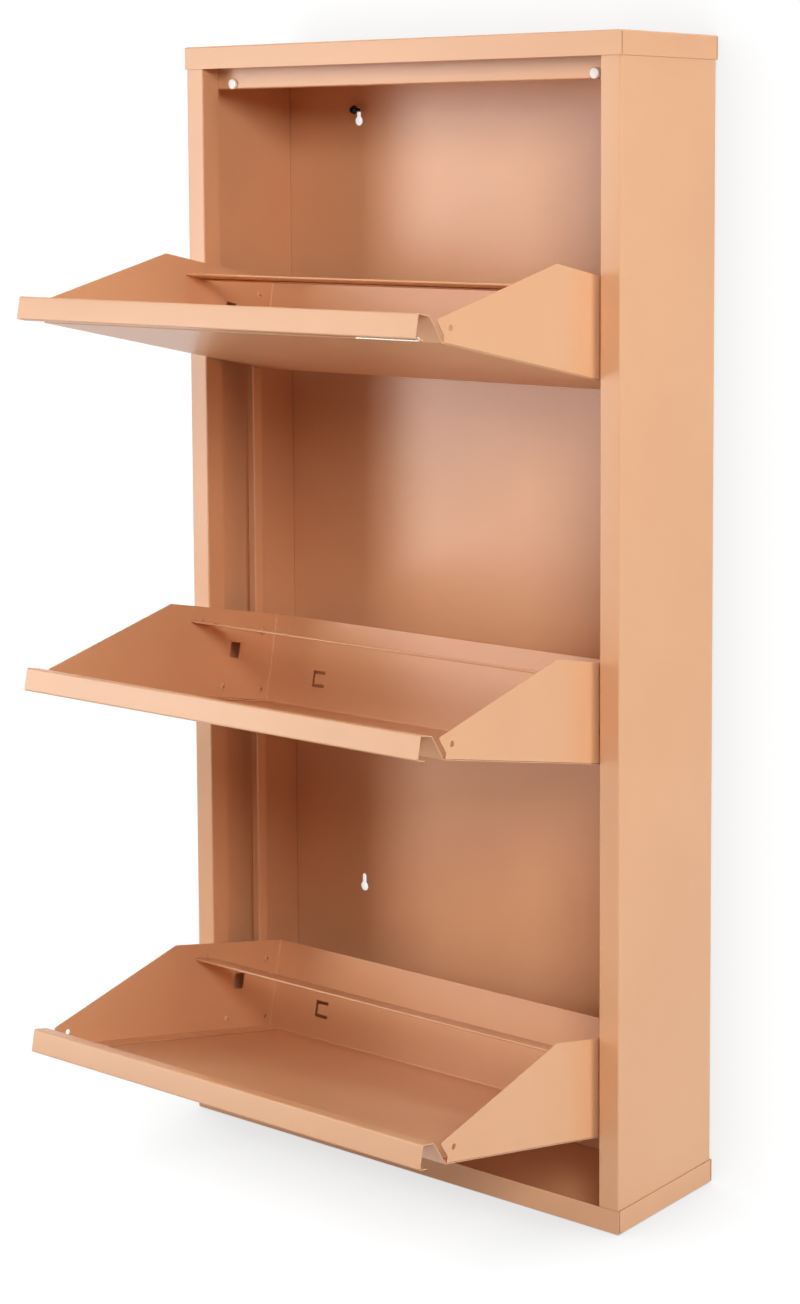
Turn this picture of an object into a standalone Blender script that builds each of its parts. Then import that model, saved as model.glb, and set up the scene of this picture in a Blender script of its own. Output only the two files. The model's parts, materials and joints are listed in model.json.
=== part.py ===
"""Tilt-out shoe cabinet in folded, powder-coated sheet steel, with its three flaps open.

Metres, +Z up. The front faces -Y, the wall side faces +Y, and +X is to the right seen from the front.
The origin is the centre of the footprint, on the underside of the base pan.
A depth is counted from the cabinet's front plane towards the wall.

Each flap is drawn as it stands closed: its depth is counted from the outer face of its door and its
height from the door's lower edge. An empty on the hinge axis then turns the whole flap open.
"""

from math import atan2, cos, pi, radians, sin, tan

import bmesh
import bpy
from mathutils import Matrix, Vector

MM = 0.001

# Overall size
WIDTH = 500 * MM
DEPTH = 150 * MM
HEIGHT = 1036 * MM
FLAP_NAMES = ("bottom", "middle", "top")
SIDES = {"left": -1, "right": 1}

# Sheet, folds and fits
SHEET = 0.8 * MM
FOLD_RADIUS = 1.6 * MM
FOLD_STEPS = 3
FIT_GAP = 0.3 * MM
ROUND_STEPS = 20
TURNED_STEPS = 14
DOME_STEPS = 2

# Base pan and top cover
PAN_FLANGE = 21 * MM
SEAM_WIDTH = 1 * MM

# Side panels
FRONT_FLANGE = 20.9 * MM
RETURN_DEPTH = 22.6 * MM
REAR_FLANGE = 16 * MM

# Keyholes in the back panel
KEYHOLE_SPACING = 317 * MM
KEYHOLE_DROP = 69 * MM
KEYHOLE_LOWER = 205 * MM
KEYHOLE_RADIUS = 4.6 * MM
KEYHOLE_SLOT = 4.8 * MM
KEYHOLE_RISE = 10.5 * MM

# Wall screws in the upper keyholes
SCREW_HEAD_RADIUS = 4.4 * MM
SCREW_HEAD_HEIGHT = 3.2 * MM
SCREW_STANDOFF = 7.5 * MM
SCREW_RADIUS = 2 * MM
SCREW_RECESS_RADIUS = 1.5 * MM
SCREW_RECESS_DEPTH = 1.6 * MM

# Rail under the top cover, and its bumpers
RAIL_DROP = 18.5 * MM
RAIL_TOP_FLANGE = 18 * MM
RAIL_LOW_FLANGE = 12 * MM
BUMPER_INSET = 19.5 * MM
BUMPER_RISE = 4.6 * MM
BUMPER_RADIUS = 5 * MM
BUMPER_THICKNESS = 2.4 * MM
BUMPER_CROWN = 1.2 * MM
BUMPER_STEM_RADIUS = 1.7 * MM
BUMPER_STEM_LENGTH = 4 * MM

# Flaps in the carcass
DOOR_BELOW = 2 * MM
DOOR_ABOVE = 4.6 * MM
DOOR_SPACING = 4.7 * MM
DOOR_SIDE_GAP = 3.5 * MM
OPEN_ANGLE = radians(78.3)
PIVOT_DEPTH = 12 * MM
PIVOT_RISE = 68 * MM

# Grip lip along the door's top
LIP_HEIGHT = 33.7 * MM
LIP_FLAT = 14.7 * MM
LIP_HEM = 10 * MM
LIP_OVERHANG = 1.6 * MM

# Cheeks
CHEEK_DEPTH = 87 * MM
CHEEK_SHOULDER = 153.5 * MM
CHEEK_LIP_GAP = 7.3 * MM
CHEEK_TIP_DROP = 1.5 * MM
CHEEK_NOSE_DEPTH = 6 * MM
CHEEK_TIP_ROUND = 2 * MM
CHEEK_SHOULDER_ROUND = 6 * MM
FOOT_FLANGE = 17 * MM
FOOT_START = 8 * MM
FOOT_END_GAP = 12 * MM
HEEL_FLANGE = 14 * MM
HEEL_FLANGE_INSET = 5 * MM
HANG_HOLE_RADIUS = 2.7 * MM
HANG_HOLE_DEPTH = 13.3 * MM
HANG_HOLE_DROP = 8.4 * MM
SPARE_HOLE_RADIUS = 2.2 * MM
SPARE_HOLE_DEPTH = 11.5 * MM
SPARE_HOLE_RISE = 11.2 * MM

# Stop tab pressed out of each cheek
TAB_DEPTH = 41 * MM
TAB_WIDTH = 15 * MM
TAB_WINDOW = 13.5 * MM
TAB_REACH = 12 * MM

# Heel plate across the flap's lower end
CLIP_SLOT_SPACING = 320 * MM
CLIP_SLOT_WIDTH = 15.6 * MM
CLIP_SLOT_HEIGHT = 16.2 * MM
CLIP_SLOT_DEPTH = 29.7 * MM
CLIP_SLOT_CUT = 3.2 * MM

# Retaining bar
BAR_DEPTH = 72.5 * MM
BAR_RISE = 96.5 * MM
BAR_WIDTH = 27 * MM
BAR_LEAN = radians(2)
BAR_HEM = 5 * MM
BAR_HEM_GAP = 0.6 * MM
BAR_HEM_RADIUS = 1 * MM
BAR_TAB_WIDTH = 9 * MM
BAR_TAB_HEIGHT = 6 * MM

# Coupling bars between the flaps
LINK_DEPTH = 69 * MM
LINK_RISE = 20 * MM
LINK_WIDTH = 13 * MM
LINK_LEG = 8 * MM
LINK_GAP = 2 * MM
LINK_END = 9 * MM

# Hollow rivets at the hinges and on the coupling bars
RIVET_HEAD_RADIUS = 4 * MM
RIVET_HEAD_HEIGHT = 1.5 * MM
RIVET_SHANK_RADIUS = 2.2 * MM
RIVET_COLLAR_RADIUS = 3.5 * MM
RIVET_TAIL_HEIGHT = 1.8 * MM
RIVET_BORE_RADIUS = 1.1 * MM
RIVET_BORE_DEPTH = 1.3 * MM

# Spring catch on the top flap's grip lip
CATCH_LENGTH = 62 * MM
CATCH_WIRE = 1.4 * MM
CATCH_CLEARANCE = 0.5 * MM
CATCH_EYE_RADIUS = 1.3 * MM
CATCH_EYE_TURN = radians(200)
CATCH_EYE_STEPS = 8
CATCH_INSET = 1.4 * MM

# Values that follow from the sizes above
PITCH = (HEIGHT - 2 * PAN_FLANGE - DOOR_BELOW - DOOR_ABOVE + DOOR_SPACING) / len(FLAP_NAMES)
DOOR_HEIGHT = PITCH - DOOR_SPACING
DOOR_FACE_TOP = DOOR_HEIGHT - LIP_HEIGHT
SKIN_OUTER = WIDTH / 2 - SHEET - FIT_GAP
SKIN_INNER = SKIN_OUTER - SHEET
FLANGE_FRONT = SHEET + FIT_GAP
FLANGE_REAR = DEPTH - SHEET - FIT_GAP
WALL_LOW = SHEET + FIT_GAP
WALL_TOP = HEIGHT - SHEET - FIT_GAP
OPENING_HALF = SKIN_OUTER - FRONT_FLANGE
DOOR_HALF = OPENING_HALF - DOOR_SIDE_GAP
BUMPER_X = OPENING_HALF - BUMPER_INSET
CHEEK_INNER = DOOR_HALF - SHEET
BACK_OUTER = FLANGE_REAR - SHEET - FIT_GAP
BACK_INNER = BACK_OUTER - SHEET
RAIL_FACE = RETURN_DEPTH + FIT_GAP
RAIL_LOW = HEIGHT - PAN_FLANGE - RAIL_DROP
KEYHOLE_UPPER = HEIGHT - KEYHOLE_DROP
BUMPER_FRONT = RAIL_FACE - FIT_GAP - BUMPER_THICKNESS
LIP_DEPTH = BUMPER_FRONT - FIT_GAP - FLANGE_FRONT
LIP_SLOPE = (LIP_HEIGHT - LIP_FLAT) / (LIP_DEPTH - SHEET)
HINGE_DEPTH = FLANGE_FRONT + PIVOT_DEPTH
HINGE_RISE = PAN_FLANGE + DOOR_BELOW + PIVOT_RISE
RIVET_HOLE_RADIUS = RIVET_SHANK_RADIUS + FIT_GAP
SEAT = SHEET + FIT_GAP
CUT_OVER = 2 * MM


def hinge_height(index):
    """Height of a flap's hinge axis, counted from the lowest flap."""
    return HINGE_RISE + index * PITCH


def y_at(depth):
    """World y of a depth behind the front plane."""
    return depth - DEPTH / 2


def in_flap(x, depth, height):
    """A point of a closed flap, seen from its hinge axis."""
    return Vector((x, depth - PIVOT_DEPTH, height - PIVOT_RISE))


def stop_tab_height():
    """Height of the stop tab's upper face: its front corner meets the return flange when open."""
    inward = (TAB_DEPTH - PIVOT_DEPTH) * cos(OPEN_ANGLE)
    rise = (HINGE_DEPTH + inward - RETURN_DEPTH - FIT_GAP) / sin(OPEN_ANGLE)
    return PIVOT_RISE + rise


def start_scene():
    """Empty the scene and return the collections for the parts and for their cutters."""
    for item in list(bpy.data.objects):
        bpy.data.objects.remove(item, do_unlink=True)
    collections = []
    for name in ("shoe_cabinet", "cutters"):
        collection = bpy.data.collections.new(name)
        bpy.context.scene.collection.children.link(collection)
        collections.append(collection)
    return collections


def surface(name, colour, roughness, metallic):
    """A plain material for one kind of surface."""
    material = bpy.data.materials.new(name)
    material.use_nodes = True
    shader = material.node_tree.nodes["Principled BSDF"]
    shader.inputs["Base Color"].default_value = (*colour, 1)
    shader.inputs["Roughness"].default_value = roughness
    shader.inputs["Metallic"].default_value = metallic
    material.diffuse_color = (*colour, 1)
    return material


PARTS, CUTTERS = start_scene()
PAINT = surface("peach_powder_coat", (0.74, 0.41, 0.24), 0.45, 0.0)
NYLON = surface("white_nylon", (0.85, 0.85, 0.83), 0.4, 0.0)
BLACK_STEEL = surface("black_steel", (0.02, 0.02, 0.02), 0.4, 1.0)
BARE_STEEL = surface("bare_spring_steel", (0.75, 0.76, 0.77), 0.25, 1.0)


def place(name, mesh, material, parent=None, at=(0, 0, 0), turn=(0, 0, 0)):
    """Put a mesh in the scene as a named part."""
    part = bpy.data.objects.new(name, mesh)
    PARTS.objects.link(part)
    part.parent = parent
    part.location = at
    part.rotation_euler = turn
    mesh.materials.clear()
    mesh.materials.append(material)
    return part


def rounded(points, radius, steps=FOLD_STEPS):
    """An open line of 2D points with each inner corner replaced by an arc."""
    line = [Vector(points[0])]
    for before, corner, after in zip(points, points[1:], points[2:]):
        back = (Vector(before) - Vector(corner)).normalized()
        ahead = (Vector(after) - Vector(corner)).normalized()
        half = back.angle(ahead) / 2
        centre = Vector(corner) + (back + ahead).normalized() * radius / sin(half)
        start = Vector(corner) + back * radius / tan(half) - centre
        side = 1 if back.x * ahead.y - back.y * ahead.x < 0 else -1
        for step in range(steps + 1):
            angle = side * (pi - 2 * half) * step / steps
            line.append(centre + Matrix.Rotation(angle, 2) @ start)
    line.append(Vector(points[-1]))
    return line


def swept(line, along, outward):
    """An open surface: a line of 3D points swept along a vector, its first face looking outward."""
    mesh = bpy.data.meshes.new("sheet")
    sheet = bmesh.new()
    rail = [sheet.verts.new(point) for point in line]
    edges = [sheet.edges.new(pair) for pair in zip(rail, rail[1:])]
    moved = bmesh.ops.extrude_edge_only(sheet, edges=edges)["geom"]
    corners = [item for item in moved if isinstance(item, bmesh.types.BMVert)]
    bmesh.ops.translate(sheet, vec=along, verts=corners)
    sheet.normal_update()
    first = next(face for face in rail[0].link_faces)
    if first.normal.dot(Vector(outward)) < 0:
        bmesh.ops.reverse_faces(sheet, faces=sheet.faces[:])
    sheet.to_mesh(mesh)
    sheet.free()
    return mesh


def thicken(part, thickness=SHEET):
    """Give an open surface its sheet thickness, behind the side that it shows."""
    solidify = part.modifiers.new("sheet", "SOLIDIFY")
    solidify.thickness = thickness
    solidify.offset = -1
    solidify.use_even_offset = True
    solidify.use_quality_normals = True
    return part


def box_mesh(low, high):
    """A box between two corners."""
    mesh = bpy.data.meshes.new("box")
    box = bmesh.new()
    bmesh.ops.create_cube(box, size=1)
    size = Vector(high) - Vector(low)
    middle = (Vector(high) + Vector(low)) / 2
    stretch = Matrix.Diagonal((*size, 1))
    bmesh.ops.transform(box, matrix=Matrix.Translation(middle) @ stretch, verts=box.verts)
    box.to_mesh(mesh)
    box.free()
    return mesh


def box_between(one, other):
    """A box between any two opposite corners."""
    low = [min(pair) for pair in zip(one, other)]
    high = [max(pair) for pair in zip(one, other)]
    return box_mesh(low, high)


def rod_mesh(centre, radius, length, axis):
    """A cylinder with its middle at a point, along X, Y or Z."""
    mesh = bpy.data.meshes.new("rod")
    rod = bmesh.new()
    bmesh.ops.create_cone(
        rod, cap_ends=True, segments=ROUND_STEPS, radius1=radius, radius2=radius, depth=length
    )
    turn = Vector((0, 0, 1)).rotation_difference(Vector(axis)).to_matrix().to_4x4()
    bmesh.ops.transform(rod, matrix=Matrix.Translation(centre) @ turn, verts=rod.verts)
    rod.to_mesh(mesh)
    rod.free()
    return mesh


def outline_mesh(points, thickness):
    """A flat outline in the XY plane, filled and extruded to a thickness about z = 0."""
    curve = bpy.data.curves.new("outline", "CURVE")
    curve.dimensions = "2D"
    curve.fill_mode = "BOTH"
    curve.extrude = thickness / 2
    spline = curve.splines.new("POLY")
    spline.points.add(len(points) - 1)
    for point, (x, y) in zip(spline.points, points):
        point.co = (x, y, 0, 1)
    spline.use_cyclic_u = True
    carrier = bpy.data.objects.new("outline", curve)
    CUTTERS.objects.link(carrier)
    evaluated = carrier.evaluated_get(bpy.context.evaluated_depsgraph_get())
    mesh = bpy.data.meshes.new_from_object(evaluated)
    bpy.data.objects.remove(carrier)
    weld(mesh)
    return mesh


def weld(mesh):
    """Join doubled points and turn all faces out."""
    body = bmesh.new()
    body.from_mesh(mesh)
    bmesh.ops.remove_doubles(body, verts=body.verts, dist=1e-6)
    bmesh.ops.recalc_face_normals(body, faces=body.faces)
    body.to_mesh(mesh)
    body.free()


def apply_tool(part, name, mesh, operation, parent=None, at=(0, 0, 0), turn=(0, 0, 0)):
    """Cut a shape out of a part, or join it on, with a live Boolean."""
    tool = bpy.data.objects.new(f"{part.name}_{name}", mesh)
    CUTTERS.objects.link(tool)
    tool.parent = parent
    tool.location = at
    tool.rotation_euler = turn
    tool.hide_render = True
    tool.display_type = "WIRE"
    boolean = part.modifiers.new(name, "BOOLEAN")
    boolean.operation = operation
    boolean.object = tool
    return tool


def settle(part):
    """Fix a part's modifiers into its mesh, so that its copies can share it."""
    bpy.context.view_layer.update()
    evaluated = part.evaluated_get(bpy.context.evaluated_depsgraph_get())
    mesh = bpy.data.meshes.new_from_object(evaluated)
    weld(mesh)
    tools = [modifier.object for modifier in part.modifiers if modifier.type == "BOOLEAN"]
    bpy.data.objects.remove(part)
    for tool in tools:
        bpy.data.objects.remove(tool)
    return mesh


def turned(name, profile):
    """A turned shape about Z, from a profile of radius and height that runs down its outer side."""
    points = [(radius, 0, height) for radius, height in profile]
    edges = [(index, index + 1) for index in range(len(points) - 1)]
    mesh = bpy.data.meshes.new(name)
    mesh.from_pydata(points, edges, [])
    blank = place(name, mesh, PAINT)
    screw = blank.modifiers.new("turn", "SCREW")
    screw.axis = "Z"
    screw.steps = TURNED_STEPS
    screw.render_steps = TURNED_STEPS
    screw.use_merge_vertices = True
    screw.merge_threshold = 1e-6
    mesh = settle(blank)
    mesh.shade_smooth()
    mesh.set_sharp_from_angle(angle=radians(40))
    return mesh


def dome(inner, outer, rim, rise):
    """Profile points of a quarter ellipse from a crown at the inner radius down to the outer rim."""
    points = []
    for step in range(DOME_STEPS + 1):
        angle = pi / 2 * step / DOME_STEPS
        points.append((inner + (outer - inner) * sin(angle), rim + rise * cos(angle)))
    return points


def make_pan(name, at, turn):
    """Base pan or top cover: a sheet with four flanges folded up and open seams at its corners."""
    mesh = bpy.data.meshes.new(name)
    pan = bmesh.new()
    bmesh.ops.create_cube(pan, size=1)
    lift = Matrix.Translation((0, 0, PAN_FLANGE / 2))
    stretch = Matrix.Diagonal((WIDTH, DEPTH, PAN_FLANGE, 1))
    bmesh.ops.transform(pan, matrix=lift @ stretch, verts=pan.verts)
    pan.normal_update()
    lid = max(pan.faces, key=lambda face: face.normal.z)
    bmesh.ops.delete(pan, geom=[lid], context="FACES_ONLY")
    floor = min(pan.faces, key=lambda face: face.normal.z)
    folds = floor.edges[:]
    bmesh.ops.bevel(
        pan, geom=folds, offset=FOLD_RADIUS, segments=FOLD_STEPS, profile=0.5, affect="EDGES"
    )
    pan.to_mesh(mesh)
    pan.free()
    part = thicken(place(name, mesh, PAINT, at=at, turn=turn))
    seam = DEPTH / 2 - SHEET - FIT_GAP
    for corner, (side, end) in enumerate(((-1, -1), (1, -1), (-1, 1), (1, 1))):
        cut = box_between(
            (side * (WIDTH / 2 - 2 * SHEET), end * (seam - SEAM_WIDTH), FOLD_RADIUS),
            (side * (WIDTH / 2 + SHEET), end * seam, PAN_FLANGE + CUT_OVER),
        )
        apply_tool(part, f"seam_{corner}", cut, "DIFFERENCE", at=at, turn=turn)
    return part


def make_side_panel(name, side):
    """Side panel: skin, front flange with its return, and a rear flange, folded from one sheet."""
    plan = [
        (SKIN_OUTER - REAR_FLANGE, FLANGE_REAR),
        (SKIN_OUTER, FLANGE_REAR),
        (SKIN_OUTER, FLANGE_FRONT),
        (OPENING_HALF, FLANGE_FRONT),
        (OPENING_HALF, RETURN_DEPTH),
    ]
    line = [Vector((side * x, y_at(depth), WALL_LOW)) for x, depth in rounded(plan, FOLD_RADIUS)]
    mesh = swept(line, (0, 0, WALL_TOP - WALL_LOW), outward=(0, 1, 0))
    part = thicken(place(name, mesh, PAINT))
    for index, flap in enumerate(FLAP_NAMES):
        centre = (side * OPENING_HALF, y_at(HINGE_DEPTH), hinge_height(index))
        hole = rod_mesh(centre, RIVET_HOLE_RADIUS, 2 * CUT_OVER, (1, 0, 0))
        apply_tool(part, f"{flap}_hinge_hole", hole, "DIFFERENCE")
    return part


def keyhole_mesh():
    """Cutter for one keyhole: a round entry with a narrow slot above it, along Y."""
    meet = atan2(KEYHOLE_SLOT / 2, (KEYHOLE_RADIUS**2 - (KEYHOLE_SLOT / 2) ** 2) ** 0.5)
    points = []
    for step in range(ROUND_STEPS + 1):
        angle = pi / 2 + meet + (2 * pi - 2 * meet) * step / ROUND_STEPS
        points.append((KEYHOLE_RADIUS * cos(angle), KEYHOLE_RADIUS * sin(angle)))
    for step in range(FOLD_STEPS * 2 + 1):
        angle = pi * step / (FOLD_STEPS * 2)
        points.append((KEYHOLE_SLOT / 2 * cos(angle), KEYHOLE_RISE + KEYHOLE_SLOT / 2 * sin(angle)))
    return outline_mesh(points, 2 * CUT_OVER)


def make_back_panel():
    """Flat back panel, inside the rear flanges, with four keyholes."""
    half = SKIN_INNER - FIT_GAP
    mesh = box_mesh((-half, y_at(BACK_INNER), WALL_LOW), (half, y_at(BACK_OUTER), WALL_TOP))
    part = place("back_panel", mesh, PAINT)
    for side_name, side in SIDES.items():
        for level, height in (("upper", KEYHOLE_UPPER), ("lower", KEYHOLE_LOWER)):
            spot = (side * KEYHOLE_SPACING / 2, y_at(BACK_INNER), height)
            name = f"{level}_{side_name}_keyhole"
            apply_tool(part, name, keyhole_mesh(), "DIFFERENCE", at=spot, turn=(pi / 2, 0, 0))
    return part


def make_top_rail():
    """Rail across the top opening, behind the returns, that the bumpers sit on."""
    section = [
        (RAIL_FACE + RAIL_TOP_FLANGE, WALL_TOP),
        (RAIL_FACE, WALL_TOP),
        (RAIL_FACE, RAIL_LOW),
        (RAIL_FACE + RAIL_LOW_FLANGE, RAIL_LOW),
    ]
    half = SKIN_INNER - FIT_GAP
    line = [Vector((-half, y_at(depth), height)) for depth, height in rounded(section, FOLD_RADIUS)]
    part = thicken(place("top_rail", swept(line, (2 * half, 0, 0), outward=(0, 0, 1)), PAINT))
    for side_name, side in SIDES.items():
        centre = (side * BUMPER_X, y_at(RAIL_FACE), RAIL_LOW + BUMPER_RISE)
        hole = rod_mesh(centre, BUMPER_STEM_RADIUS + FIT_GAP, 2 * CUT_OVER, (0, 1, 0))
        apply_tool(part, f"{side_name}_bumper_hole", hole, "DIFFERENCE")
    return part


def make_bumpers():
    """Push-in bumpers that the top flap's lip closes against."""
    profile = [
        (0, BUMPER_THICKNESS),
        *dome(BUMPER_RADIUS - BUMPER_CROWN, BUMPER_RADIUS, BUMPER_THICKNESS - BUMPER_CROWN, BUMPER_CROWN),
        (BUMPER_RADIUS, 0),
        (BUMPER_STEM_RADIUS, 0),
        (BUMPER_STEM_RADIUS, -BUMPER_STEM_LENGTH),
        (0, -BUMPER_STEM_LENGTH),
    ]
    mesh = turned("bumper", profile)
    for side_name, side in SIDES.items():
        spot = (side * BUMPER_X, y_at(RAIL_FACE - FIT_GAP), RAIL_LOW + BUMPER_RISE)
        place(f"bumper_{side_name}", mesh, NYLON, at=spot, turn=(pi / 2, 0, 0))


def make_wall_screws():
    """Screws that the cabinet hangs on, in the slots of the upper keyholes, cut off at the wall."""
    tail = BACK_INNER - DEPTH + FIT_GAP
    recess = SCREW_STANDOFF + SCREW_HEAD_HEIGHT - SCREW_RECESS_DEPTH
    profile = [
        (0, recess),
        (SCREW_RECESS_RADIUS, recess),
        *dome(SCREW_RECESS_RADIUS, SCREW_HEAD_RADIUS, SCREW_STANDOFF, SCREW_HEAD_HEIGHT),
        (SCREW_RADIUS, SCREW_STANDOFF),
        (SCREW_RADIUS, tail),
        (0, tail),
    ]
    mesh = turned("wall_screw", profile)
    slot_top = KEYHOLE_UPPER + KEYHOLE_RISE + KEYHOLE_SLOT / 2
    for side_name, side in SIDES.items():
        spot = (side * KEYHOLE_SPACING / 2, y_at(BACK_INNER), slot_top - FIT_GAP - SCREW_RADIUS)
        place(f"wall_screw_{side_name}", mesh, BLACK_STEEL, at=spot, turn=(pi / 2, 0, 0))


def rivet_mesh(name, gap):
    """Hollow rivet along Z through two sheets and a spacing collar, with its head's seat at z = 0."""
    collar = SHEET + 2 * FIT_GAP
    collar_end = SHEET + gap
    tail = collar_end + SHEET + 2 * FIT_GAP
    bore = RIVET_HEAD_HEIGHT - RIVET_BORE_DEPTH
    upset = dome(0, RIVET_COLLAR_RADIUS, 0, RIVET_TAIL_HEIGHT)
    formed = [(radius, -tail - height) for radius, height in upset]
    profile = [
        (0, bore),
        (RIVET_BORE_RADIUS, bore),
        *dome(RIVET_BORE_RADIUS, RIVET_HEAD_RADIUS, 0, RIVET_HEAD_HEIGHT),
        (RIVET_SHANK_RADIUS, 0),
        (RIVET_SHANK_RADIUS, -collar),
        (RIVET_COLLAR_RADIUS, -collar),
        (RIVET_COLLAR_RADIUS, -collar_end),
        (RIVET_SHANK_RADIUS, -collar_end),
        (RIVET_SHANK_RADIUS, -tail),
        *reversed(formed),
    ]
    return turned(name, profile)


def make_hinge_rivets():
    """Rivets that hang each flap's cheeks on the returns of the side panels."""
    mesh = rivet_mesh("hinge_rivet", DOOR_SIDE_GAP)
    for side_name, side in SIDES.items():
        for index, flap in enumerate(FLAP_NAMES):
            spot = (side * (CHEEK_INNER - FIT_GAP), y_at(HINGE_DEPTH), hinge_height(index))
            place(f"hinge_rivet_{flap}_{side_name}", mesh, PAINT, at=spot, turn=(0, -side * pi / 2, 0))


def door_mesh():
    """Door sheet with the grip lip folded along its top, open at both ends."""
    section = [
        (-LIP_OVERHANG, DOOR_HEIGHT - LIP_HEM),
        (-LIP_OVERHANG, DOOR_HEIGHT),
        (LIP_DEPTH, DOOR_HEIGHT),
        (LIP_DEPTH, DOOR_HEIGHT - LIP_FLAT),
        (SHEET, DOOR_FACE_TOP),
        (SHEET, 0),
    ]
    line = [in_flap(-DOOR_HALF, depth, height) for depth, height in rounded(section, FOLD_RADIUS)]
    return settle(thicken(place("door", swept(line, (2 * DOOR_HALF, 0, 0), outward=(0, -1, 0)), PAINT)))


def cheek_outline():
    """The cheek's edge as depth and height, starting on the door below the grip lip."""
    def lip_line(depth):
        return DOOR_FACE_TOP + (depth - SHEET) * LIP_SLOPE - CHEEK_LIP_GAP

    tip_depth = LIP_DEPTH - CHEEK_TIP_DROP
    tip = (tip_depth, lip_line(tip_depth))
    shoulder = (CHEEK_DEPTH, CHEEK_SHOULDER)
    heel = (CHEEK_DEPTH, 0)
    nose = (CHEEK_NOSE_DEPTH, lip_line(CHEEK_NOSE_DEPTH))
    front = rounded([nose, tip, shoulder], CHEEK_TIP_ROUND)[:-1]
    back = rounded([tip, shoulder, heel], CHEEK_SHOULDER_ROUND)[1:-1]
    return [(SEAT, nose[1]), *front, *back]


def cheek_mesh(side):
    """Cheek plate with a foot flange on the door, a flange under the heel plate, holes and a stop tab."""
    x = side * DOOR_HALF
    inward = Vector((-side, 0, 0))
    foot_high = DOOR_FACE_TOP - FOOT_END_GAP
    corners = [(depth, height) for depth, height in cheek_outline()]
    corners += [
        (CHEEK_DEPTH, HEEL_FLANGE_INSET),
        (CHEEK_DEPTH - HEEL_FLANGE_INSET, 0),
        (SEAT + HEEL_FLANGE_INSET, 0),
        (SEAT, HEEL_FLANGE_INSET),
        (SEAT, FOOT_START),
        (SEAT, foot_high),
    ]
    mesh = bpy.data.meshes.new("cheek")
    sheet = bmesh.new()
    ring = [sheet.verts.new(in_flap(x, depth, height)) for depth, height in corners]
    plate = sheet.faces.new(ring)
    plate.normal_update()
    if plate.normal.x * side < 0:
        plate.normal_flip()
    for first, width in ((-5, HEEL_FLANGE), (-2, FOOT_FLANGE)):
        edge = sheet.edges.get((ring[first], ring[first + 1]))
        moved = bmesh.ops.extrude_edge_only(sheet, edges=[edge])["geom"]
        edge_ends = [item for item in moved if isinstance(item, bmesh.types.BMVert)]
        bmesh.ops.translate(sheet, vec=inward * width, verts=edge_ends)
    sheet.to_mesh(mesh)
    sheet.free()
    part = thicken(place("cheek", mesh, PAINT))

    holes = (
        ("hinge", PIVOT_DEPTH, PIVOT_RISE, RIVET_HOLE_RADIUS),
        ("link", LINK_DEPTH, LINK_RISE, RIVET_HOLE_RADIUS),
        ("hang", HANG_HOLE_DEPTH, DOOR_FACE_TOP - HANG_HOLE_DROP, HANG_HOLE_RADIUS),
        ("spare", SPARE_HOLE_DEPTH, SPARE_HOLE_RISE, SPARE_HOLE_RADIUS),
    )
    for name, depth, height, radius in holes:
        rod = rod_mesh(in_flap(x, depth, height), radius, 2 * CUT_OVER, (1, 0, 0))
        apply_tool(part, f"{name}_hole", rod, "DIFFERENCE")

    tab_top = stop_tab_height()
    window = box_between(
        in_flap(x - CUT_OVER, TAB_DEPTH, tab_top - SHEET - TAB_WINDOW),
        in_flap(x + CUT_OVER, TAB_DEPTH + TAB_WIDTH, tab_top - SHEET),
    )
    apply_tool(part, "tab_window", window, "DIFFERENCE")
    tab = box_between(
        in_flap(x - side * SHEET / 2, TAB_DEPTH, tab_top - SHEET),
        in_flap(x + side * TAB_REACH, TAB_DEPTH + TAB_WIDTH, tab_top),
    )
    apply_tool(part, "stop_tab", tab, "UNION")
    return settle(part)


def clip_slot_mesh(side):
    """Cutter for the C-shaped slot that leaves a clip tongue in the heel plate."""
    half_x = CLIP_SLOT_WIDTH / 2
    half_y = CLIP_SLOT_HEIGHT / 2
    points = [
        (half_x, half_y),
        (-half_x, half_y),
        (-half_x, -half_y),
        (half_x, -half_y),
        (half_x, -half_y + CLIP_SLOT_CUT),
        (-half_x + CLIP_SLOT_CUT, -half_y + CLIP_SLOT_CUT),
        (-half_x + CLIP_SLOT_CUT, half_y - CLIP_SLOT_CUT),
        (half_x, half_y - CLIP_SLOT_CUT),
    ]
    return outline_mesh([(-side * x, y) for x, y in points], 2 * CUT_OVER)


def heel_plate_mesh():
    """Plate that the heels stand on when the flap is closed, lying on the cheeks' heel flanges."""
    half = CHEEK_INNER - FIT_GAP
    line = [in_flap(-half, depth, SEAT) for depth in (SEAT, CHEEK_DEPTH)]
    part = thicken(place("heel_plate", swept(line, (2 * half, 0, 0), outward=(0, 0, -1)), PAINT))
    for side_name, side in SIDES.items():
        spot = in_flap(side * CLIP_SLOT_SPACING / 2, CLIP_SLOT_DEPTH, SEAT)
        apply_tool(part, f"{side_name}_clip_slot", clip_slot_mesh(side), "DIFFERENCE", at=spot)
    return settle(part)


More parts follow.
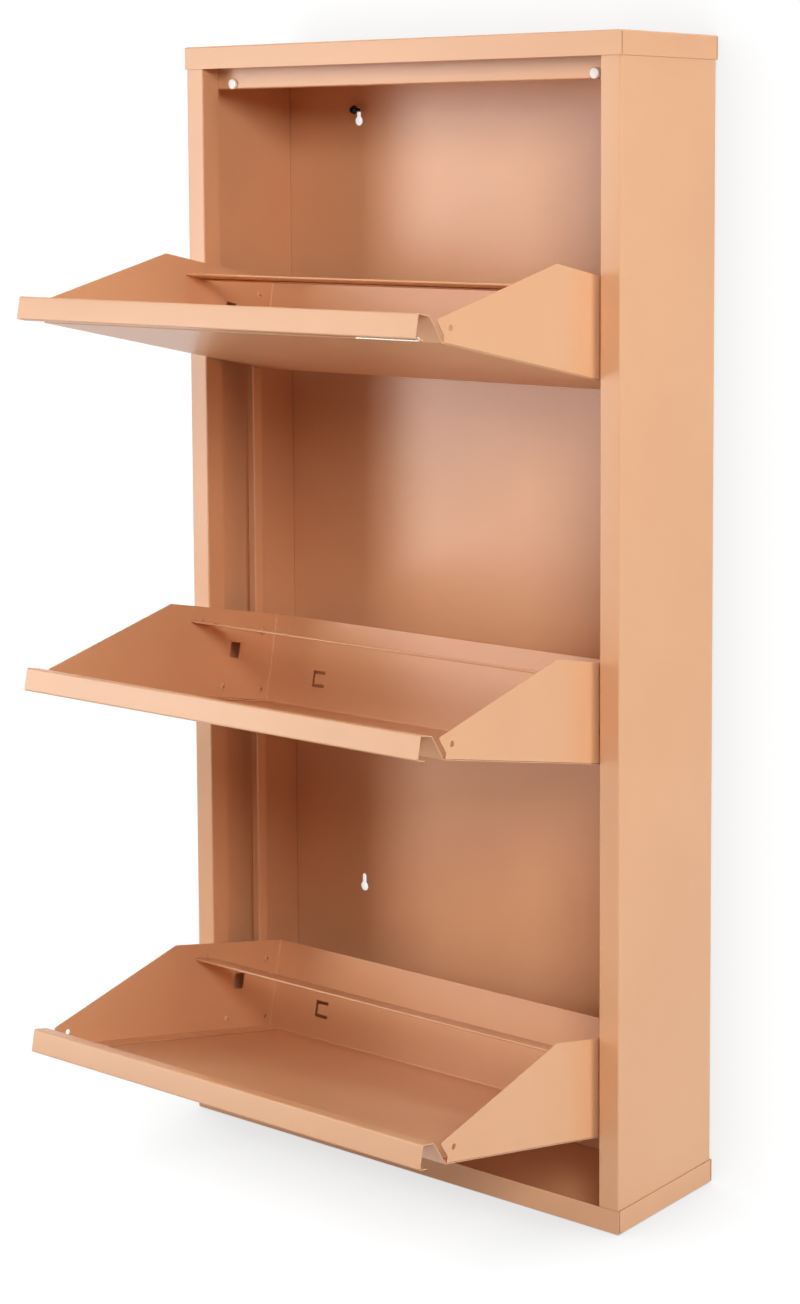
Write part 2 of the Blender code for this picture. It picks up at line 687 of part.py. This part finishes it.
def bar_mesh():
    """Retaining bar: a leaning strip across the flap with both edges hemmed under and a tab at each end."""
    under = -2 * SHEET - BAR_HEM_GAP
    section = [
        (under, BAR_HEM),
        (under, 0),
        (0, 0),
        (0, BAR_WIDTH),
        (under, BAR_WIDTH),
        (under, BAR_WIDTH - BAR_HEM),
    ]
    half = CHEEK_INNER - FIT_GAP
    line = [Vector((-half, depth, height)) for depth, height in rounded(section, BAR_HEM_RADIUS)]
    part = thicken(place("bar", swept(line, (2 * half, 0, 0), outward=(0, -1, 0)), PAINT))
    for side_name, side in SIDES.items():
        tab = box_between(
            (side * half, -SHEET / 2, FOLD_RADIUS),
            (side * (half - SHEET), BAR_TAB_HEIGHT, FOLD_RADIUS + BAR_TAB_WIDTH),
        )
        apply_tool(part, f"{side_name}_tab", tab, "UNION")
    mesh = settle(part)
    lean = Matrix.Rotation(-BAR_LEAN, 4, "X")
    mesh.transform(Matrix.Translation(in_flap(0, BAR_DEPTH, BAR_RISE)) @ lean)
    return mesh


def make_flaps():
    """Three equal flaps, each on an empty at its hinge axis, and the pieces that ride on them."""
    door = door_mesh()
    cheeks = {name: cheek_mesh(side) for name, side in SIDES.items()}
    heel_plate = heel_plate_mesh()
    bar = bar_mesh()
    rivet = rivet_mesh("link_rivet", LINK_GAP)
    hinges = {}
    for index, flap in enumerate(FLAP_NAMES):
        hinge = bpy.data.objects.new(f"{flap}_hinge_axis", None)
        PARTS.objects.link(hinge)
        hinge.location = (0, y_at(HINGE_DEPTH), hinge_height(index))
        hinge.rotation_euler = (OPEN_ANGLE, 0, 0)
        hinges[flap] = hinge
        place(f"{flap}_flap_door", door, PAINT, hinge)
        place(f"{flap}_flap_heel_plate", heel_plate, PAINT, hinge)
        place(f"{flap}_flap_retaining_bar", bar, PAINT, hinge)
        for side_name, side in SIDES.items():
            place(f"{flap}_flap_cheek_{side_name}", cheeks[side_name], PAINT, hinge)
            spot = in_flap(side * (CHEEK_INNER - FIT_GAP), LINK_DEPTH, LINK_RISE)
            place(f"link_rivet_{flap}_{side_name}", rivet, PAINT, hinge, spot, (0, -side * pi / 2, 0))
    return hinges


def make_link_bar(name, side):
    """Upright channel that couples the three flaps, with its origin on the top flap's link rivet."""
    turn = Matrix.Rotation(OPEN_ANGLE, 3, "X")
    top = len(FLAP_NAMES) - 1
    hinge = Vector((0, y_at(HINGE_DEPTH), hinge_height(top)))
    rivet = hinge + turn @ in_flap(0, LINK_DEPTH, LINK_RISE)
    web = side * (DOOR_HALF + LINK_GAP)
    plan = [
        (side * LINK_LEG, -LINK_WIDTH / 2),
        (0, -LINK_WIDTH / 2),
        (0, LINK_WIDTH / 2),
        (side * LINK_LEG, LINK_WIDTH / 2),
    ]
    low = -top * PITCH - LINK_END
    line = [Vector((x, y, low)) for x, y in rounded(plan, FOLD_RADIUS)]
    mesh = swept(line, (0, 0, LINK_END - low), outward=(0, -1, 0))
    part = thicken(place(name, mesh, PAINT, at=(web, rivet.y, rivet.z)))
    for index, flap in enumerate(FLAP_NAMES):
        hole = rod_mesh((0, 0, (index - top) * PITCH), RIVET_HOLE_RADIUS, 2 * CUT_OVER, (1, 0, 0))
        apply_tool(part, f"{flap}_rivet_hole", hole, "DIFFERENCE", at=part.location)
    return part


def make_catch(hinge):
    """Spring wire along the underside of the top flap's hem, its end curled up beside the lip."""
    eye = OPENING_HALF - CATCH_CLEARANCE - CATCH_WIRE / 2 - CATCH_EYE_RADIUS
    axis = -LIP_OVERHANG - FIT_GAP - CATCH_WIRE / 2
    height = DOOR_HEIGHT - CATCH_INSET - CATCH_WIRE / 2
    line = [in_flap(eye - CATCH_LENGTH, axis, height)]
    for step in range(CATCH_EYE_STEPS + 1):
        angle = CATCH_EYE_TURN * step / CATCH_EYE_STEPS - pi / 2
        across = CATCH_EYE_RADIUS * cos(angle)
        up = CATCH_EYE_RADIUS * (1 + sin(angle))
        line.append(in_flap(eye + across, axis + up, height))
    wire = bpy.data.curves.new("spring_catch", "CURVE")
    wire.dimensions = "3D"
    wire.bevel_depth = CATCH_WIRE / 2
    wire.bevel_resolution = 2
    wire.use_fill_caps = True
    route = wire.splines.new("POLY")
    route.points.add(len(line) - 1)
    for point, spot in zip(route.points, line):
        point.co = (*spot, 1)
    return place("spring_catch", wire, BARE_STEEL, hinge)


def build():
    """Carcass first, then the flaps and what joins them."""
    make_pan("base_pan", (0, 0, 0), (0, 0, 0))
    make_pan("top_cover", (0, 0, HEIGHT), (0, pi, 0))
    for side_name, side in SIDES.items():
        make_side_panel(f"side_panel_{side_name}", side)
        make_link_bar(f"link_bar_{side_name}", side)
    make_back_panel()
    make_top_rail()
    make_bumpers()
    make_wall_screws()
    make_hinge_rivets()
    hinges = make_flaps()
    make_catch(hinges["top"])


build()
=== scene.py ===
"""Looks of the tilt-out shoe cabinet: finishes, fine edges, small details, stage, light and camera.

Metres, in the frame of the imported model. The front faces -Y, the wall side faces +Y, +Z is up.
"""

import json
from math import cos, pi, radians, sin

import bmesh
import bpy
from mathutils import Matrix, Vector


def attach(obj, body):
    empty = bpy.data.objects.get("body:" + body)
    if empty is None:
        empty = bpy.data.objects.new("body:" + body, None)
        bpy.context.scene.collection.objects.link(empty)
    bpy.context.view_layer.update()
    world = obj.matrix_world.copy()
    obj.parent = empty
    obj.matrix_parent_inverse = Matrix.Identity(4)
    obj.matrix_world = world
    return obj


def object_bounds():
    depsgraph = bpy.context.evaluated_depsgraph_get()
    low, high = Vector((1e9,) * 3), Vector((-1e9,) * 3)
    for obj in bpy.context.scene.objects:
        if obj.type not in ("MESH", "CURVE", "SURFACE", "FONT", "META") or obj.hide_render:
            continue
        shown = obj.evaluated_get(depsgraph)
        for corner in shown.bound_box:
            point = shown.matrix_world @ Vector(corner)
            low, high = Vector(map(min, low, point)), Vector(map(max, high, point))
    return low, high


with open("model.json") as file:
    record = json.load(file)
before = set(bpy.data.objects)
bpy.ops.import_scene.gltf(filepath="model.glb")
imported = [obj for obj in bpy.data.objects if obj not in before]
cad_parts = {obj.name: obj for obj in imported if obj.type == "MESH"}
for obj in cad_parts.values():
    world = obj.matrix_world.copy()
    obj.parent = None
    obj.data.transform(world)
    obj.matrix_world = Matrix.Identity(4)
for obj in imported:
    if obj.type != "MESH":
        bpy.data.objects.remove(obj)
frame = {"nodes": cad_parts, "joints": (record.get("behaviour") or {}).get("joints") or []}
CAD_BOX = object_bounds()
NODES = frame["nodes"]
MM = 0.001

# Photograph's frame and the camera that took it
IMAGE_WIDTH = 800
IMAGE_HEIGHT = 1304
FOCAL_PIXELS = 2555.6
CENTRE_PIXEL = (446.17, 405.12)
CAMERA_PLACE = Vector((1.45577, -1.84344, 0.92759))
CAMERA_YAW = -0.666811
CAMERA_PITCH = 0.095178
CAMERA_ROLL = -0.004291
SENSOR = 36.0

# Powder coat, as linear colours, and the share of them that is left deep in narrow gaps, where painted
# shade darkens them
PEACH_LIGHT = (0.785, 0.427, 0.229)
PEACH_DEEP = (0.746, 0.394, 0.208)
CREVICE_REACH = 2 * MM
CREVICE_SHADE = 0.2
CREVICE_OPENNESS = (0.1, 0.45)
CREVICE_SAMPLES = 6

# Edge rounding of the painted sheet, and the joining of its triangles into faces
EDGE_RADIUS = 0.3 * MM
EDGE_SEGMENTS = 2
FOLD_ANGLE = radians(38)
WELD_REACH = 0.001 * MM
FLAT_ANGLE = radians(0.5)

# Paint that fills the creases inside the flaps
FLAPS = ("bottom", "middle", "top")
PLATE_GAP = 0.3 * MM
CREASE_RADIUS = 1.3 * MM
CREASE_STEPS = 6
CREASE_BITE = 0.1 * MM

# Light, with the softboxes that the gloss mirrors named apart
AMBIENT = 0.03
SOFTBOX_AIM = Vector((0, 0, 0.6))
SOFTBOXES = {
    "left_strip": {"azimuth": -45, "reach": 2.7, "height": 0.7, "size": (0.5, 1.4), "power": 16},
    "left_tall": {"azimuth": -35, "reach": 2.7, "height": 1.3, "size": (0.5, 2.6), "power": 19},
    "right_key": {"azimuth": 45, "reach": 2.7, "height": 1.65, "size": (0.8, 0.8), "power": 40},
    "right_high": {"azimuth": 100, "reach": 2.7, "height": 2.4, "size": (0.7, 0.7), "power": 19},
    "right_low": {"azimuth": 100, "reach": 2.7, "height": 0.5, "size": (0.7, 0.7), "power": 16.5},
    "overhead": {"azimuth": 30, "reach": 0.5, "height": 2.9, "size": (1.2, 1.2), "power": 17},
    "left_rear": {"azimuth": -115, "reach": 2.7, "height": 1.5, "size": (1.2, 1.2), "power": 24},
    "rear": {"azimuth": 190, "reach": 2.7, "height": 1.8, "size": (1.4, 1.4), "power": 42},
}
GLEAMING = ("left_strip", "left_tall")

# White stage: what it sends back to the cabinet, and its own white where it is seen directly, dimmed by a
# painted contact shadow close to the cabinet
STAGE_REACH = 6.0
STAGE_GAP = 0.5 * MM
STAGE_BOUNCE = 0.6
STAGE_MATT = 0.08
STAGE_GLOW = 0.97
# Painted contact shadow: how low the stage's own white goes where the cabinet is near, and how far out it
# reaches
WALL_CONTACT_GLOW = 0.67
WALL_CONTACT_REACH = 0.09
FLOOR_CONTACT_GLOW = 0.61
FLOOR_CONTACT_REACH = 0.11
CONTACT_SAMPLES = 16


def node_graph(name):
    """A new material with its node tree emptied."""
    material = bpy.data.materials.new(name)
    material.use_nodes = True
    tree = material.node_tree
    tree.nodes.clear()
    return material, tree


def add(tree, kind, **values):
    """A shader node with its properties and unlinked inputs set by name."""
    node = tree.nodes.new(kind)
    for key, value in values.items():
        socket = key.replace("_", " ")
        found = [entry for entry in node.inputs if entry.name.lower() == socket.lower()]
        if found:
            found[0].default_value = value
        else:
            setattr(node, key, value)
    return node


def two_tone(tree, factor, low, high, spread):
    """A colour that runs from low to high while a noise passes the middle of its range by the spread."""
    ramp = add(tree, "ShaderNodeValToRGB")
    stops = ramp.color_ramp.elements
    for stop, colour, position in zip(stops, (low, high), (0.5 - spread, 0.5 + spread)):
        stop.position = position
        stop.color = (*colour, 1)
    tree.links.new(factor, ramp.inputs["Fac"])
    return ramp.outputs["Color"]


def powder_coat():
    """Satin powder coat: faintly cloudy, with painted shade darkening it deep in gaps, and orange peel over
    panel waves.
    """
    material, tree = node_graph("peach_powder_coat")
    link = tree.links.new
    place = add(tree, "ShaderNodeTexCoord").outputs["Object"]

    clouds = add(tree, "ShaderNodeTexNoise", Scale=7.0, Detail=3.0, Roughness=0.55)
    link(place, clouds.inputs["Vector"])
    tint = two_tone(tree, clouds.outputs["Fac"], PEACH_DEEP, PEACH_LIGHT, spread=0.2)

    # Painted shade: the colour is darkened where narrow gaps and seams close in, as if shade fell there
    gap = add(tree, "ShaderNodeAmbientOcclusion", Distance=CREVICE_REACH, samples=CREVICE_SAMPLES)
    deep, open_air = CREVICE_OPENNESS
    painted_gap_shade = add(
        tree, "ShaderNodeMapRange",
        From_Min=deep, From_Max=open_air, To_Min=CREVICE_SHADE, To_Max=1.0,
    )
    link(gap.outputs["AO"], painted_gap_shade.inputs["Value"])
    colour = add(tree, "ShaderNodeVectorMath", operation="SCALE")
    link(tint, colour.inputs["Vector"])
    link(painted_gap_shade.outputs["Result"], colour.inputs["Scale"])

    peel = add(tree, "ShaderNodeTexNoise", Scale=620.0, Detail=2.0, Roughness=0.5)
    link(place, peel.inputs["Vector"])
    waves = add(tree, "ShaderNodeTexNoise", Scale=9.0, Detail=1.0)
    link(place, waves.inputs["Vector"])
    wavy = add(tree, "ShaderNodeBump", Strength=0.25, Distance=0.0012)
    link(waves.outputs["Fac"], wavy.inputs["Height"])
    grain = add(tree, "ShaderNodeBump", Strength=0.16, Distance=0.0003)
    link(peel.outputs["Fac"], grain.inputs["Height"])
    link(wavy.outputs["Normal"], grain.inputs["Normal"])

    gloss = add(tree, "ShaderNodeMapRange", From_Min=0.3, From_Max=0.7, To_Min=0.29, To_Max=0.37)
    link(peel.outputs["Fac"], gloss.inputs["Value"])

    shader = add(tree, "ShaderNodeBsdfPrincipled", IOR=1.5)
    link(colour.outputs["Vector"], shader.inputs["Base Color"])
    link(gloss.outputs["Result"], shader.inputs["Roughness"])
    link(grain.outputs["Normal"], shader.inputs["Normal"])
    output = add(tree, "ShaderNodeOutputMaterial")
    link(shader.outputs["BSDF"], output.inputs["Surface"])
    return material


def plain_finish(name, low, high, scale, roughness, metallic, bump):
    """A finish whose colour and height vary with a fine noise."""
    material, tree = node_graph(name)
    link = tree.links.new
    place = add(tree, "ShaderNodeTexCoord").outputs["Object"]
    noise = add(tree, "ShaderNodeTexNoise", Scale=scale, Detail=4.0, Roughness=0.6)
    link(place, noise.inputs["Vector"])
    relief = add(tree, "ShaderNodeBump", Strength=bump, Distance=0.0002)
    link(noise.outputs["Fac"], relief.inputs["Height"])
    shader = add(tree, "ShaderNodeBsdfPrincipled", Roughness=roughness, Metallic=metallic)
    tint = two_tone(tree, noise.outputs["Fac"], low, high, spread=0.15)
    link(tint, shader.inputs["Base Color"])
    link(relief.outputs["Normal"], shader.inputs["Normal"])
    output = add(tree, "ShaderNodeOutputMaterial")
    link(shader.outputs["BSDF"], output.inputs["Surface"])
    return material


FINISHES = {
    "peach_powder_coat": powder_coat(),
    "white_nylon": plain_finish(
        "white_nylon", (0.92, 0.91, 0.85), (0.96, 0.95, 0.9),
        scale=500, roughness=0.38, metallic=0.0, bump=0.1,
    ),
    "black_steel": plain_finish(
        "black_steel", (0.012, 0.012, 0.012), (0.03, 0.03, 0.03),
        scale=700, roughness=0.42, metallic=0.6, bump=0.3,
    ),
    "spring_steel": plain_finish(
        "spring_steel", (0.7, 0.67, 0.63), (0.84, 0.81, 0.77),
        scale=300, roughness=0.26, metallic=1.0, bump=0.05,
    ),
}


def smooth_group():
    """Geometry nodes that shade a mesh smooth across shallow edges and sharp across steep ones."""
    group = bpy.data.node_groups.new("smooth_by_angle", "GeometryNodeTree")
    group.interface.new_socket("Geometry", in_out="INPUT", socket_type="NodeSocketGeometry")
    group.interface.new_socket("Geometry", in_out="OUTPUT", socket_type="NodeSocketGeometry")
    entry = group.nodes.new("NodeGroupInput")
    leave = group.nodes.new("NodeGroupOutput")
    steep = group.nodes.new("FunctionNodeCompare")
    steep.data_type = "FLOAT"
    steep.operation = "GREATER_THAN"
    steep.inputs["B"].default_value = FOLD_ANGLE
    angle = group.nodes.new("GeometryNodeInputMeshEdgeAngle")
    faces = group.nodes.new("GeometryNodeSetShadeSmooth")
    faces.domain = "FACE"
    edges = group.nodes.new("GeometryNodeSetShadeSmooth")
    edges.domain = "EDGE"
    edges.inputs["Shade Smooth"].default_value = False
    forget = group.nodes.new("GeometryNodeRemoveAttribute")
    forget.inputs["Name"].default_value = "custom_normal"
    link = group.links.new
    link(entry.outputs["Geometry"], forget.inputs["Geometry"])
    link(forget.outputs["Geometry"], faces.inputs["Geometry"])
    link(faces.outputs["Geometry"], edges.inputs["Geometry"])
    link(angle.outputs["Unsigned Angle"], steep.inputs["A"])
    link(steep.outputs["Result"], edges.inputs["Selection"])
    link(edges.outputs["Geometry"], leave.inputs["Geometry"])
    return group


SMOOTH = smooth_group()


def soften(node, radius):
    """Join a node's triangles into faces, round its sharp edges and shade its folds smooth."""
    weld = node.modifiers.new("weld", "WELD")
    weld.merge_threshold = WELD_REACH
    faces = node.modifiers.new("faces", "DECIMATE")
    faces.decimate_type = "DISSOLVE"
    faces.angle_limit = FLAT_ANGLE
    if radius:
        bevel = node.modifiers.new("edges", "BEVEL")
        bevel.width = radius
        bevel.segments = EDGE_SEGMENTS
        bevel.limit_method = "ANGLE"
        bevel.angle_limit = FOLD_ANGLE
    smooth = node.modifiers.new("smooth", "NODES")
    smooth.node_group = SMOOTH
    node.modifiers.new("normals", "WEIGHTED_NORMAL").keep_sharp = True


def dress_nodes():
    """Give every CAD node its finish and its softened edges."""
    slots = {
        "bumper": "white_nylon",
        "wall_screw": "black_steel",
        "spring_catch": "spring_steel",
    }
    for name, node in NODES.items():
        slot = next((slots[start] for start in slots if name.startswith(start)), "peach_powder_coat")
        node.data.materials.clear()
        node.data.materials.append(FINISHES[slot])
        painted = slot == "peach_powder_coat" and "rivet" not in name
        soften(node, EDGE_RADIUS if painted else 0)


def flap_axes(flap):
    """Turns a flap's own directions (across, depth, height from its hinge) into the stored, open pose."""
    joint = next(entry for entry in frame["joints"] if entry["child"] == f"{flap}_flap")
    turn = Matrix.Rotation(radians(joint["range_deg"][1]), 4, "X")
    return Matrix.Translation(joint["pos_m"]) @ turn


def flap_box(flap, node):
    """Lowest and highest corners of a node along its flap's own directions."""
    back = flap_axes(flap).inverted()
    points = [back @ vertex.co for vertex in NODES[node].data.vertices]
    low = Vector([min(point[axis] for point in points) for axis in range(3)])
    high = Vector([max(point[axis] for point in points) for axis in range(3)])
    return low, high


def crease_fillet(name, flap, corner, along, first, second):
    """A small hollow fillet of paint in the corner between two plates that lie along first and second."""
    first, second, along = Vector(first), Vector(second), Vector(along)
    centre = corner + CREASE_RADIUS * (first + second)
    section = [
        corner - CREASE_BITE * (first + second),
        corner + CREASE_RADIUS * first - CREASE_BITE * second,
    ]
    for step in range(CREASE_STEPS + 1):
        angle = pi / 2 * step / CREASE_STEPS
        section.append(centre - CREASE_RADIUS * (cos(angle) * second + sin(angle) * first))
    section.append(corner + CREASE_RADIUS * second - CREASE_BITE * first)

    mesh = bpy.data.meshes.new(name)
    strip = bmesh.new()
    near = [strip.verts.new(point) for point in section]
    far = [strip.verts.new(point + along) for point in section]
    for index in range(len(section)):
        after = (index + 1) % len(section)
        strip.faces.new((near[index], near[after], far[after], far[index]))
    strip.faces.new(near)
    strip.faces.new(far)
    bmesh.ops.recalc_face_normals(strip, faces=strip.faces)
    strip.transform(flap_axes(flap))
    strip.to_mesh(mesh)
    strip.free()
    mesh.materials.append(FINISHES["peach_powder_coat"])
    item = bpy.data.objects.new(name, mesh)
    bpy.context.scene.collection.objects.link(item)
    item.modifiers.new("smooth", "NODES").node_group = SMOOTH
    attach(item, f"{flap}_flap")


def fill_creases():
    """Paint fillets round each heel plate: along the door, and up both cheeks."""
    for flap in FLAPS:
        low, high = flap_box(flap, f"{flap}_flap_heel_plate")
        reach = high.x + PLATE_GAP
        door = Vector((-reach, low.y - PLATE_GAP, high.z))
        crease_fillet(f"{flap}_flap_door_fillet", flap, door, (2 * reach, 0, 0), (0, 1, 0), (0, 0, 1))
        for side_name, side in (("left", -1), ("right", 1)):
            corner = Vector((side * reach, low.y, high.z))
            run = (0, high.y - low.y, 0)
            crease_fillet(f"{flap}_flap_fillet_{side_name}", flap, corner, run, (-side, 0, 0), (0, 0, 1))


def camera():
    """The photograph's camera, with the frame's offset from its optical axis as a shift."""
    data = bpy.data.cameras.new("camera")
    data.sensor_width = SENSOR
    data.lens = FOCAL_PIXELS * SENSOR / IMAGE_HEIGHT
    data.shift_x = (IMAGE_WIDTH / 2 - CENTRE_PIXEL[0]) / IMAGE_HEIGHT
    data.shift_y = (CENTRE_PIXEL[1] - IMAGE_HEIGHT / 2) / IMAGE_HEIGHT
    forward = Vector((
        sin(CAMERA_YAW) * cos(CAMERA_PITCH),
        cos(CAMERA_YAW) * cos(CAMERA_PITCH),
        -sin(CAMERA_PITCH),
    ))
    level = Vector((cos(CAMERA_YAW), -sin(CAMERA_YAW), 0))
    upright = level.cross(forward)
    right = cos(CAMERA_ROLL) * level + sin(CAMERA_ROLL) * upright
    up = right.cross(forward)
    turn = Matrix((right, up, -forward)).transposed()
    item = bpy.data.objects.new("camera", data)
    bpy.context.scene.collection.objects.link(item)
    item.matrix_world = Matrix.Translation(CAMERA_PLACE) @ turn.to_4x4()
    bpy.context.scene.camera = item


def softboxes():
    """Large area lamps aimed at the cabinet. Only the gleaming ones are mirrored in its gloss."""
    for name, box in SOFTBOXES.items():
        lamp = bpy.data.lights.new(f"{name}_softbox", "AREA")
        lamp.shape = "RECTANGLE"
        lamp.size, lamp.size_y = box["size"]
        lamp.energy = box["power"]
        item = bpy.data.objects.new(lamp.name, lamp)
        bpy.context.scene.collection.objects.link(item)
        turn = radians(box["azimuth"])
        item.location = (box["reach"] * sin(turn), -box["reach"] * cos(turn), box["height"])
        item.rotation_mode = "QUATERNION"
        item.rotation_quaternion = (SOFTBOX_AIM - item.location).to_track_quat("-Z", "Y")
        item.visible_camera = False
        item.visible_glossy = name in GLEAMING


def seen_directly(tree):
    """A value that is 1 for camera, glossy and transmission rays and 0 for the rest."""
    path = add(tree, "ShaderNodeLightPath")
    total = path.outputs["Is Camera Ray"]
    for kind in ("Is Glossy Ray", "Is Transmission Ray"):
        either = add(tree, "ShaderNodeMath", operation="MAXIMUM")
        tree.links.new(total, either.inputs[0])
        tree.links.new(path.outputs[kind], either.inputs[1])
        total = either.outputs[0]
    return total


def sky():
    """White world that lights the object at a plain level."""
    world = bpy.data.worlds.new("studio")
    world.use_nodes = True
    bpy.context.scene.world = world
    tree = world.node_tree
    tree.nodes.clear()
    strength = add(tree, "ShaderNodeMapRange", To_Min=AMBIENT, To_Max=1.0)
    tree.links.new(seen_directly(tree), strength.inputs["Value"])
    background = add(tree, "ShaderNodeBackground", Color=(1, 1, 1, 1))
    tree.links.new(strength.outputs["Result"], background.inputs["Strength"])
    output = add(tree, "ShaderNodeOutputWorld")
    tree.links.new(background.outputs["Background"], output.inputs["Surface"])


def grey(level):
    """A neutral colour."""
    return (level, level, level, 1)


def stage_material(name, contact_glow, contact_reach):
    """Matt white stage, clear from behind: most of its white is its own, and a painted contact shadow fades
    it close to the cabinet.
    """
    material, tree = node_graph(name)
    link = tree.links.new
    matt = add(tree, "ShaderNodeBsdfDiffuse", Color=grey(STAGE_MATT))
    # Painted contact shadow: the stage's emitted white is dimmed by occlusion near the cabinet, not by the
    # lamps
    contact = add(tree, "ShaderNodeAmbientOcclusion", Distance=contact_reach, samples=CONTACT_SAMPLES)
    glow = add(tree, "ShaderNodeMapRange", To_Min=contact_glow, To_Max=STAGE_GLOW)
    link(contact.outputs["AO"], glow.inputs["Value"])
    light = add(tree, "ShaderNodeEmission", Color=grey(1))
    link(glow.outputs["Result"], light.inputs["Strength"])
    both = add(tree, "ShaderNodeAddShader")
    link(matt.outputs[0], both.inputs[0])
    link(light.outputs[0], both.inputs[1])
    bounce = add(tree, "ShaderNodeBsdfDiffuse", Color=grey(STAGE_BOUNCE))
    seen = add(tree, "ShaderNodeMixShader")
    link(seen_directly(tree), seen.inputs["Fac"])
    link(bounce.outputs[0], seen.inputs[1])
    link(both.outputs[0], seen.inputs[2])
    clear = add(tree, "ShaderNodeBsdfTransparent")
    side = add(tree, "ShaderNodeMixShader")
    link(add(tree, "ShaderNodeNewGeometry").outputs["Backfacing"], side.inputs["Fac"])
    link(seen.outputs[0], side.inputs[1])
    link(clear.outputs[0], side.inputs[2])
    output = add(tree, "ShaderNodeOutputMaterial")
    link(side.outputs[0], output.inputs["Surface"])
    return material


def stage_plane(name, corners, material):
    """A flat stage piece from its four corners."""
    mesh = bpy.data.meshes.new(name)
    flat = bmesh.new()
    flat.faces.new([flat.verts.new(corner) for corner in corners])
    flat.to_mesh(mesh)
    flat.free()
    mesh.materials.append(material)
    item = bpy.data.objects.new(name, mesh)
    bpy.context.scene.collection.objects.link(item)
    return item


def stage():
    """Pale floor under the cabinet, and the white wall that it hangs on, which only the camera sees."""
    low, high = CAD_BOX
    reach = STAGE_REACH
    level = low.z - STAGE_GAP
    depth = high.y + STAGE_GAP
    floor = stage_plane(
        "floor",
        [(-reach, -reach, level), (reach, -reach, level), (reach, reach, level), (-reach, reach, level)],
        stage_material("floor_white", FLOOR_CONTACT_GLOW, FLOOR_CONTACT_REACH),
    )
    wall = stage_plane(
        "wall",
        [(-reach, depth, level), (reach, depth, level), (reach, depth, reach), (-reach, depth, reach)],
        stage_material("wall_white", WALL_CONTACT_GLOW, WALL_CONTACT_REACH),
    )
    wall.visible_diffuse = False
    wall.visible_glossy = False
    wall.visible_transmission = False
    for item in (floor, wall):
        item.visible_shadow = False


dress_nodes()
fill_creases()
stage()
sky()
softboxes()
camera()
bpy.context.scene.view_settings.view_transform = "Standard"
